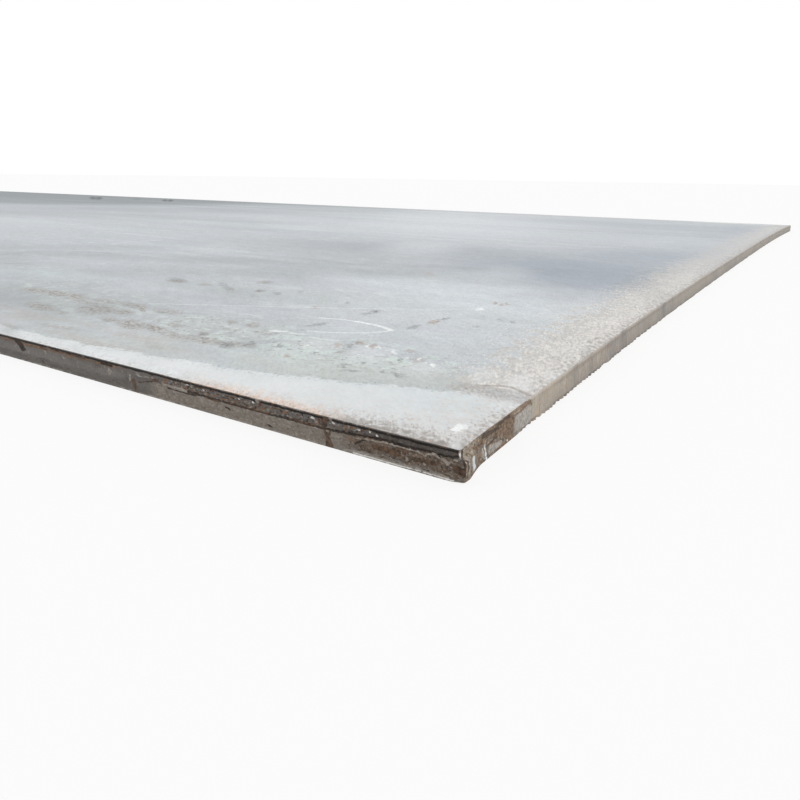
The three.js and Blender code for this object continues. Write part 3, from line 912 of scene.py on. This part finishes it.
        ("#e6ecec", 2, 0.7, [(-202, 132), (-189, 132), (-179, 135)]),
        ("#e6eaeb", 2, 0.45, [(-417, 148), (-332, 196), (-265, 234), (-185, 285), (-149, 314)]),
        ("#e3e7ea", 1.6, 0.45, [(-313, 165), (-294, 168), (-283, 162)]),
        ("#e8ebee", 2.6, 0.75, [(-949, 473), (-950, 521), (-939, 571)]),
        ("#dfe3e7", 2.2, 0.45, [(-828, 245), (-791, 275)]),
        ("#dfe3e7", 2, 0.4, [(-776, 204), (-732, 233)]),
        ("#8e9297", 2.6, 0.6, [(-919, 265), (-930, 301), (-927, 331), (-893, 360), (-821, 382)]),
        ("#8e9297", 2.2, 0.6, [(-826, 218), (-806, 227), (-785, 234)]),
        ("#948a81", 1.6, 0.72, [(-39, 95), (-33, 98), (-28, 102), (-21, 103), (-14, 100), (-6, 95)]),
    ],
    "brokenLine": 0.3,  # share of a line's strength that is left where the grit breaks it
    "driftLumps": ((24, 14, 20), 41, 3),  # size, seed, detail, turn and roughness
    "crustLumps": ((260, 260, 90), 42, 1),
    "cloudLumps": ((110, 60, 40), 44, 3),
    "flakeLumps": ((6, 6, 9), 45, 2),
    "gritLumps": ((3, 3.6, 9), 46, 2),
    "broadGrain": ((9, 20, 9), 47, 2, 50, 0.85),
    "fineGrain": ((2.4, 6.4, 9), 48, 1, 36, 0.85),
    "toothLumps": ((3.2, 2.6, 6), 51, 2),
    "drift": (0.25, 0.75, -1, 1),  # from one range to the other
    "endDrift": 7,  # how far the drift moves the lines along each edge
    "sideDrift": 3,
    "crustDrift": 3,
    "paleDrift": 2.4,
    "cloudReach": (90, 60, 0),
    "flakeReach": (10, 10, 0),
    "grit": (0.36, 0.6, 0.2, 1),
    # the crust is narrow beside the ledge's corner and widest beyond a third of the end
    "crustWidth": (80, 240, 43, 58),
    "crustWander": 44,
    "deepestCrust": -30,
    # the pale band beside the sheared edge is widest near the ledge's corner
    "paleWidth": (36, 170, 81, 39),
    "paleNarrowing": (170, 340, 0, -22),
    "grainGain": (0, 2, 0.66, 1.3),
    "calmShare": 0.6,
    "calmGain": 0.985,
    "crustTooth": (10, -20, 0.12, 1),
    "bump": {"Distance": 0.7 * mm, "Strength": 0.7},
    # A mask, the distance it follows and its ramps: it is 0 at a ramp's first distance and 1 at the
    # second, and all its ramps are multiplied.
    "crustBands": [
        ("crust", "crustSide", (95 - halfWidth, 99 - halfWidth)),
        ("crustZone", "crustLimit", (14, -6)),
        ("crustNear", "sideGap", (1500, 250)),
        ("scorch", "endRagged", (62, 40)),
        ("scorch", "sideRagged", (74, 84), (101, 97)),
    ],
    "paleBands": [
        ("pale", "pastPale", (2, -2)),
        ("paleRim", "pastPale", (-8, -3), (12, 4)),
        ("olive", "pastPale", (-2, 2), (64, 26)),
        ("olive", "endGap", (10, 40), (420, 260)),
        ("dusty", "pastPale", (-2, 2), (60, 34)),
        ("dusty", "endGap", (190, 300)),
        ("peach", "endGap", (60, 90), (210, 160)),
        ("dustyRim", "endGap", (100, 55)),
        ("farSide", "fromMiddle", (0, 10)),
        ("crustFar", "fromMiddle", (-600, 100)),
        ("crustFar", "endGap", (190, 90)),
        ("farSide", "along", (halfLength - 600, 0)),
        ("calm", "pastPale", (2, -8)),
        ("calm", "sideGap", (8, 22)),
        ("calm", "endGap", (4, 16)),
    ],
}


def buildMillScale(settings):
    s = settings
    material, add, shader, place = startMaterial("hotRolledMillScale", s["finish"])
    # distances from the nearest flame-cut end and the nearest sheared edge
    middle = add("VectorMath", place, (*arrisCorner, 0), operation="ADD")
    folded = add("VectorMath", middle, operation="ABSOLUTE")
    inwards = add("VectorMath", (halfLength, halfWidth, 0), folded, operation="SUBTRACT")
    straightGap, sideGap, _ = add("SeparateXYZ", inwards).outputs
    along, fromMiddle, _ = add("SeparateXYZ", middle).outputs
    across = add("Math", sideGap, -1 / halfWidth, 1, operation="MULTIPLY_ADD")
    curve = add("Math", across, plate["endHollowPower"], operation="POWER")
    hollow = add("MapRange", curve, 0, 1, -plate["endHollow"], 0)
    onNearEnd = add("Math", along, 0, operation="GREATER_THAN")
    endGap = add("Math", hollow, onNearEnd, straightGap, operation="MULTIPLY_ADD")
    drift = add("MapRange", lumps(add, place, *s["driftLumps"]), *s["drift"])

    def drifting(distance, reach):  # a distance whose lines wander
        return add("Math", drift, reach, distance, operation="MULTIPLY_ADD")

    def addBands(bands):
        for name, distance, *ramps in bands:
            for ramp in ramps:
                narrow(add, masks, name, masks[distance], *ramp)

    # the distances that bands and coats follow, joined by the masks made from them
    masks = {"along": along, "fromMiddle": fromMiddle, "endGap": endGap, "sideGap": sideGap}
    masks["endRagged"] = drifting(endGap, s["endDrift"])
    masks["sideRagged"] = drifting(sideGap, s["sideDrift"])

    crustWidth = add("MapRange", sideGap, *s["crustWidth"], **smooth)
    pastCrust = add("Math", masks["endRagged"], crustWidth, operation="SUBTRACT")
    broad = lumps(add, place, *s["crustLumps"])
    pastCrust = add("Math", broad, -s["crustWander"], pastCrust, operation="MULTIPLY_ADD")
    masks["crustLimit"] = add("Math", pastCrust, s["crustWander"] / 2, operation="ADD")
    masks["pastCrust"] = add("Math", masks["crustLimit"], s["deepestCrust"], operation="MAXIMUM")
    masks["crustSide"] = drifting(fromMiddle, s["crustDrift"])
    addBands(s["crustBands"])

    widthNear = add("MapRange", endGap, *s["paleWidth"])
    widthFar = add("MapRange", endGap, *s["paleNarrowing"])
    paleWidth = add("Math", widthNear, widthFar, operation="ADD")
    pastPale = drifting(sideGap, s["paleDrift"])
    masks["pastPale"] = add("Math", pastPale, paleWidth, operation="SUBTRACT")
    addBands(s["paleBands"])
    masks["mottled"] = spotShare(add, place, s["patches"], s["patchSoft"])
    masks["streaked"] = spotShare(add, place, s["streaks"], s["patchSoft"])

    colour = addCoats(add, place, hexColour(s["colour"]), s["coats"], masks, s["firstSeeds"]["coats"])
    loose = shifted(add, place, s["cloudReach"], s["cloudLumps"])
    colour = paintOver(add, colour, spotCoats(add, loose, s["clouds"]))
    for coats in ("mottling", "sideCoats", "crustCoats"):
        colour = addCoats(add, place, colour, s[coats], masks, s["firstSeeds"][coats])
    # faint tone spots and painted highlights, laid over everything else
    colour = paintOver(add, colour, spotCoats(add, place, s["toneSpotsAndHighlights"]))

    # flakes, scratches and a painted highlight, shaken and broken up by the grit they lie on
    shaken = shifted(add, place, s["flakeReach"], s["flakeLumps"])
    grit = add("MapRange", lumps(add, place, *s["gritLumps"]), *s["grit"])

    def grittyCoats():
        for share, paint in spotCoats(add, shaken, s["flakesAndHighlight"]):
            yield add("Math", grit, share, operation="MULTIPLY"), paint
        for paint, halfBreadth, strength, points in s["lines"]:
            line = lineShare(add, place, points, halfBreadth)
            share = add("MapRange", grit, 0, 1, s["brokenLine"] * strength, strength)
            yield add("Math", share, line, operation="MULTIPLY"), paint

    colour = paintOver(add, colour, grittyCoats())

    # fine grain of the dust, drawn as coarse as it needs to show
    broadGrain = lumps(add, place, *s["broadGrain"])
    fineGrain = lumps(add, place, *s["fineGrain"])
    grainy = add("Math", broadGrain, fineGrain, operation="ADD")
    gain = add("MapRange", grainy, *s["grainGain"], clamp=False)
    calm = add("Math", masks["calm"], s["calmShare"], operation="MULTIPLY")
    gain = add("Mix", calm, inputs={2: gain, 3: s["calmGain"]}, data_type="FLOAT")
    feed(shader, {"Base Color": add("VectorMath", colour, operation="SCALE", inputs={"Scale": gain})})

    # relief: granular crust and a fine tooth everywhere
    tooth = lumps(add, place, *s["toothLumps"])
    crusty = add("MapRange", masks["pastCrust"], *s["crustTooth"])
    height = add("Math", tooth, crusty, operation="MULTIPLY")
    feed(shader, {"Normal": add("Bump", inputs={"Height": height, **s["bump"]})})
    return material


# Limits of an edge's masks: the axis, where along it the mask starts and is full, and how much the
# wobble moves that. Places are measured from the corner between the two arrises.
nearSide = (1, 900, 600, 0)
nearEnd = (0, -1500, -1000, 0)

# Sheared edge of the plate: the blade leaves a dark burnished land under the rolled-over arris and
# a rougher torn face below it, browned by water that ran down from the top. A near-black line right
# under the arris is painted shadow, and a pale line along the foot is painted highlight. The marks add
# painted shade in the ledge's undercut and painted highlight on its lip and down the corner.
shearedEdge = {
    "name": "shearedSteelEdge",
    "finish": {"Metallic": 0.1, "Roughness": 0.7, "Specular IOR Level": 0.25},
    "colour": "#66625e",
    "firstSeed": 71,
    "toothSize": (1.4, 1.4, 1.1),
    "toothHeight": 0.25,
    "ranges": {
        # painted shadow: a thin band right under the arris
        "underArris": [(2, -0.25, -0.5, 0.1), (2, -2.0, -1.4, 0.35)],
        "lowerLedge": [(0, -226, -214, 3), (2, -5.9, -6.6, 0.4), nearSide],
        "upperLedge": [(0, -226, -205, 6), (2, -6.4, -5.8, 0.3), nearSide],
        "cornerFace": [(0, -70, -58, 4), (2, -5.0, -5.5, 0.2), nearSide],
        "cornerFoot": [(0, -80, -58, 4), (2, -12.2, -13.2, 0.8), nearSide],
        "cornerLand": [(0, -60, -44, 4), (2, -5.6, -4.9, 0.2), nearSide],
        "brownStrip": [(0, -240, -270, 8), (2, -1.2, -1.8, 0.2), (2, -4.8, -3.4, 0.7), nearSide],
        "greyFace": [(0, -236, -262, 8), (2, -3.4, -4.8, 0.5), (2, -11.5, -9.0, 0.8), nearSide],
        # painted highlight: a pale band along the foot, where the burr's rounding would catch light
        "rim": [(2, -14.9, -15.4, 0.3)],
        "arrisRust": [(2, -3.4, -2.4, 0.6), (0, -260, -230, 4), nearSide],
    },
    "coats": [
        *coatList(
            ("#6c6864", 0.8, (60, 40, 6), 0.42, 0.62, 3), ("#4e4b48", 0.6, (24, 24, 5), 0.5, 0.68, 3),
            ("#736e69", 0.45, (14, 14, 1.1), 0.5, 0.7),
            ("#3d3a37", 0.55, (1.6, 1.6, 1.2), 0.54, 0.68, 3, 0.7),
            ("#8d8882", 0.4, (1.6, 1.6, 1.2), 0.56, 0.7, 3, 0.7),
            ("#5b4332", 0.7, (9, 9, 2.6), 0.58, 0.66, 4, 0.7)),
        *coatList(
            ("#827a71", 0.85, (50, 50, 30), -1, 0), ("#8d857c", 0.5, (8, 8, 3), 0.45, 0.65, 3),
            ("#574c43", 0.6, (2.6, 2.6, 1.8), 0.49, 0.64, 4, 0.75),
            ("#a8a098", 0.55, (2.2, 2.2, 1.5), 0.51, 0.64, 4, 0.75), within="lowerLedge"),
        *coatList(
            ("#6a6561", 0.8, (50, 50, 30), -1, 0), ("#a9a5a0", 0.75, (2.4, 2.4, 1.3), 0.54, 0.64, 4, 0.7),
            ("#1d1815", 0.8, (2.2, 2.2, 1.3), 0.54, 0.62, 3, 0.65),
            ("#93602f", 0.75, (2, 2, 1.4), 0.56, 0.66), within="upperLedge"),
        *coatList(("#48433f", 0.7, (9, 9, 3), 0.1, 0.45, 3), within="cornerLand"),
        *coatList(
            ("#665b51", 0.9, (9, 9, 4), 0.2, 0.44, 3),
            ("#3c3027", 0.75, (5.5, 5.5, 3.4), 0.5, 0.62, 4, 0.75),
            ("#7b5f48", 0.6, (3.6, 3.6, 2.4), 0.53, 0.62, 4, 0.75),
            ("#2e2620", 0.75, (1.9, 1.9, 1.4), 0.54, 0.62, 3, 0.7),
            ("#a2988f", 0.65, (1.8, 1.8, 1.3), 0.56, 0.64, 3, 0.7),
            ("#93602f", 0.65, (2, 2, 1.4), 0.63, 0.69), within="cornerFace"),
        *coatList(
            ("#85817c", 0.75, (6, 6, 2), 0.34, 0.58, 3),
            ("#4e4843", 0.55, (1.8, 1.8, 1.3), 0.54, 0.64, 3, 0.7), within="cornerFoot"),
        # painted highlight along the foot
        *coatList(("#a19b93", 0.65, (5, 5, 30), 0.44, 0.62), within="rim"),
        *coatList(("#6e5946", 0.7, (6, 6, 1.2), 0.34, 0.52, 3), within="brownStrip"),
        # painted shadow: a near-black line under the arris
        *coatList(("#14110f", 0.95, (9, 9, 30), 0.22, 0.4), within="underArris"),
        *coatList(("#6f4a30", 0.6, (3, 3, 2.4), 0.64, 0.7), within="arrisRust"),
        *coatList(
            ("#827f7b", 0.45, (20, 20, 6), 0.2, 0.6, 3),
            ("#55504b", 0.5, (1.6, 1.6, 4), 0.56, 0.66, 3, 0.7),
            ("#a59f98", 0.5, (1.8, 1.8, 3), 0.58, 0.68, 3, 0.7), within="greyFace"),
        *coatList(("#a8683a", 0.7, (3, 3, 1.6), 0.56, 0.65, 3), within="brownStrip"),
    ],
    "marks": [  # kind, light and dark tone, strength, fray and grit size
        ("dark", "#3a2d24", "#1a1512", 0.9, 0.6, (1.6, 1.6, 1.2)),
        ("rust", "#6b5341", "#33281e", 0.88, 1.2, (1.9, 1.9, 1.5)),
        ("pale", "#a8a198", "#78716a", 0.85, 1.1, (1.4, 1.4, 1)),
        ("white", "#eceae6", "#c9c6c2", 0.95, 0.4, (1.4, 1.4, 1.4)),
    ],
}

# Flame-cut end: a burnt, beige-grey oxide face with fine drag lines from top to bottom, a melted
# arris painted lighter as a highlight, painted shade darkening the face towards the foot, brown
# rust where water stood beside the ledge, and painted shade in the crease at the ledge's corner.
flameCutEnd = {
    "name": "flameCutSteelEdge",
    "finish": {"Metallic": 0.1, "Roughness": 0.66},
    "colour": "#9e978e",
    "firstSeed": 91,
    "toothSize": (3, 0.9, 9),
    "toothHeight": 0.2,
    "ranges": {
        # painted highlight along the melted arris
        "arris": [(2, -1.6, -0.7, 0.5)],
        "dross": [(2, -13.0, -14.6, 1.2)],
        "browned": [(1, 68, 60, 3), nearEnd],
        "ear": [(1, 19, 13, 3), (2, -5.4, -4.6, 0.5), nearEnd],
        "burnt": [(1, 60, 400, 9), nearEnd],
        "underArris": [(2, -1.3, -2.1, 0.3), (2, -4.8, -3.2, 0.5), (1, 100, 140, 3)],
        # painted shade: the face darkens towards the foot
        "foot": [(2, -6.0, -13.0, 1.2), (1, 110, 150, 3)],
        "rusty": [(1, 90, 100, 3), (1, 460, 300, 9), nearEnd],
    },
    "coats": [
        *coatList(
            ("#b3a999", 0.8, (60, 46, 60), 0.42, 0.66), ("#8b8a89", 0.6, (60, 110, 60), 0.46, 0.68),
            ("#7f766c", 0.65, (9, 1.5, 22), 0.5, 0.66, 3), ("#c6bcae", 0.65, (9, 1.2, 18), 0.54, 0.7, 3),
            ("#a98a66", 0.5, (9, 3, 9), 0.58, 0.7, 3), ("#6f675e", 0.45, (2, 2, 2.4), 0.56, 0.66, 3, 0.7)),
        # painted highlight along the melted arris
        *coatList(("#c4bcb1", 0.55, (30, 30, 30), -1, 0), within="arris"),
        *coatList(("#5f5850", 0.65, (30, 12, 8), 0.4, 0.6), within="dross"),
        *coatList(("#bcae9c", 0.6, (9, 3.4, 1.6), 0.52, 0.66, 3, 0.7)),
        *coatList(
            ("#746758", 0.92, (30, 30, 30), -1, 0), ("#a0937f", 0.55, (7, 6, 4), 0.5, 0.64, 4),
            within="browned"),
        *coatList(
            ("#aca294", 0.8, (30, 30, 30), -1, 0), ("#75695b", 0.8, (2.4, 2.2, 1.6), 0.48, 0.6, 3, 0.7),
            within="ear"),
        *coatList(
            ("#41372d", 0.8, (2.6, 2.6, 2.2), 0.5, 0.6, 4, 0.7),
            ("#b8ab98", 0.7, (2, 1.9, 2), 0.56, 0.66, 3, 0.7), ("#8a5e3a", 0.6, (3, 2.4, 2.2), 0.57, 0.65),
            within="browned"),
        *coatList(("#7f7c79", 0.26, (30, 30, 30), -1, 0), within="burnt"),
        *coatList(("#767069", 0.3, (9, 3, 9), 0.1, 0.5), within="underArris"),
        # painted shade, darker towards the foot
        *coatList(("#78746f", 0.3, (9, 5, 3), 0.1, 0.5), within="foot"),
        *coatList(("#b48c68", 0.55, (3, 2.2, 2.4), 0.6, 0.67), within="rusty"),
    ],
    "marks": [
        ("rust", "#94765a", "#33271c", 0.84, 1.3, (1.5, 1.5, 1.3)),
        ("dark", "#41362c", "#231d19", 0.8, 0.9, (2, 2, 1.8)),
        ("pale", "#b9b3ab", "#84807b", 0.9, 0.9, (1.5, 1.5, 1.5)),
        ("white", "#e3e9ee", "#c6ccd0", 0.95, 0.5, (1.4, 1.4, 1.4)),
    ],
}
falterings = {  # grey streaks where the cut faltered: start and end along the face, and strength
    "places": [
        (168, 179, 0.42), (207, 213, 0.65), (257, 270, 0.3), (294, 312, 0.62), (450, 466, 0.72),
        (495, 508, 0.35),
    ],
    "blur": 5,
    "shake": 4,
}
for count, (start, end, strength) in enumerate(falterings["places"]):
    name, blur, shake = "streak%d" % count, falterings["blur"], falterings["shake"]
    flameCutEnd["ranges"][name] = [
        (1, start - blur, start + blur, shake), (1, end + blur, end - blur, shake), nearEnd]
    flameCutEnd["coats"] += coatList(("#747270", strength, (6, 2.6, 14), 0.3, 0.56, 3), within=name)


edgeDetail = {  # what both kinds of edge share
    "wobbleLumps": ((5, 5, 5), 91),
    "wobble": (0.3, 0.7, -1, 1),
    "marksSeed": 30,
    "gritFinish": (3, 0, 0.7),  # detail, turn and roughness of the grit on the marks
    "markRamp": (0.3, 0.7),
    "coarserSeed": 10,
    "coarser": 1.6,  # the lumps of a mark's dark tone are this much larger than its grit
    "toneRamp": (0.38, 0.62),
    "toothFinish": (92, 3),
    "bumpStrength": 0.8,
}


# The strokes that the mesh carries. Each kind is frayed by grit, and its two tones mix in lumps.
def addMarks(add, place, colour, marks, firstSeed):
    d = edgeDetail

    def shares():
        for seed, (kind, light, dark, strength, fray, grit) in enumerate(marks, firstSeed):
            mark = add("Attribute", attribute_name=kind).outputs["Fac"]
            fine = lumps(add, place, grit, seed, *d["gritFinish"])
            frayed = add("Math", fine, fray, mark, operation="MULTIPLY_ADD")
            start, end = (level + fray / 2 for level in d["markRamp"])
            share = add("MapRange", frayed, start, end, 0, strength, **smooth)
            size = [d["coarser"] * side for side in grit]
            coarse = lumps(add, place, size, seed + d["coarserSeed"], *d["gritFinish"])
            darkShare = add("MapRange", coarse, *d["toneRamp"])
            yield share, paintOver(add, hexColour(light), [(darkShare, dark)])

    return paintOver(add, colour, shares())


def buildEdge(settings):
    s, d = settings, edgeDetail
    material, add, shader, place = startMaterial(s["name"], s["finish"])
    axes = add("SeparateXYZ", place).outputs
    wobble = add("MapRange", lumps(add, place, *d["wobbleLumps"]), *d["wobble"])
    masks = {}
    for mask, limits in s["ranges"].items():
        for axis, start, end, shake in limits:
            value = add("Math", wobble, shake, axes[axis], operation="MULTIPLY_ADD")
            narrow(add, masks, mask, value, start, end)
    colour = addCoats(add, place, hexColour(s["colour"]), s["coats"], masks, s["firstSeed"])
    colour = addMarks(add, place, colour, s["marks"], s["firstSeed"] + d["marksSeed"])
    feed(shader, {"Base Color": colour})
    tooth = lumps(add, place, s["toothSize"], *d["toothFinish"])
    bump = {"Height": tooth, "Distance": s["toothHeight"] * mm, "Strength": d["bumpStrength"]}
    feed(shader, {"Normal": add("Bump", inputs=bump)})
    return material


for material in (buildMillScale(millScale), buildEdge(shearedEdge), buildEdge(flameCutEnd)):
    piece.data.materials.append(material)
print("materials ready")

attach(piece, "root")
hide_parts("steel_plate")


stage = {
    "floorSize": 60,
    "floorColour": "#f6f6f6",
    "cameraWhite": 0.72,  # the floor shines this much by itself, to the camera only
    "skyStrength": 0.58,
    "sunShare": 0.38,
    "sunDirection": (0.5, -0.16, 0.85),
    "sunAngle": 22,
    "cameraForward": (-0.51401, 0.79560, -0.32065),
    "cameraUp": (-0.18520, 0.26206, 0.94711),
    "cameraFromCorner": (0.128657, -0.250727, 0.119020),  # metres from the ledge's corner
    "cameraLens": 29.747,
    "cameraClip": (0.01, 200),
}


def buildFloor():
    bm = bmesh.new()
    bmesh.ops.create_grid(bm, x_segments=1, y_segments=1, size=stage["floorSize"] / 2)
    floor = newObject("floor", bm)
    material = bpy.data.materials.new("paintedFloor")  # matt paint that gives the eye an even near-white
    add = freshNodes(material)
    rays = add("LightPath")
    paint = add("BsdfDiffuse", hexColour(stage["floorColour"]))
    glow = add("Emission", inputs={"Strength": 1})
    share = add("Math", rays.outputs["Is Camera Ray"], stage["cameraWhite"], operation="MULTIPLY")
    add("OutputMaterial", add("MixShader", share, paint, glow))
    floor.data.materials.append(material)


def buildLight():
    world = bpy.data.worlds.new("softSky")
    scene.world = world
    add = freshNodes(world)
    rays = add("LightPath").outputs
    seen = add("Math", rays["Is Camera Ray"], rays["Is Glossy Ray"], operation="MAXIMUM")
    strength = add("MapRange", seen, 0, 1, stage["skyStrength"], 1)
    add("OutputWorld", add("Background", (1, 1, 1, 1), strength))
    direction = Vector(stage["sunDirection"]).normalized()
    lamp = bpy.data.lights.new("softSun", "SUN")
    lamp.energy = stage["sunShare"] * math.pi / direction.z
    lamp.angle = math.radians(stage["sunAngle"])
    sun = bpy.data.objects.new("softSun", lamp)
    sun.rotation_mode = "QUATERNION"
    sun.rotation_quaternion = direction.to_track_quat("Z", "Y")
    scene.collection.objects.link(sun)


def buildCamera():
    forward = Vector(stage["cameraForward"])
    right = forward.cross(Vector(stage["cameraUp"])).normalized()
    up = right.cross(forward).normalized()
    data = bpy.data.cameras.new("camera")
    data.lens = stage["cameraLens"]
    data.clip_start, data.clip_end = stage["cameraClip"]
    camera = bpy.data.objects.new("camera", data)
    matrix = Matrix((right, up, -forward.normalized())).transposed().to_4x4()
    matrix.translation = Vector((*arrisCorner, thickness)) * mm + Vector(stage["cameraFromCorner"])
    camera.matrix_world = matrix
    scene.collection.objects.link(camera)
    scene.camera = camera


buildFloor()
buildLight()
buildCamera()
scene.view_settings.view_transform = "Standard"
print("stage ready")
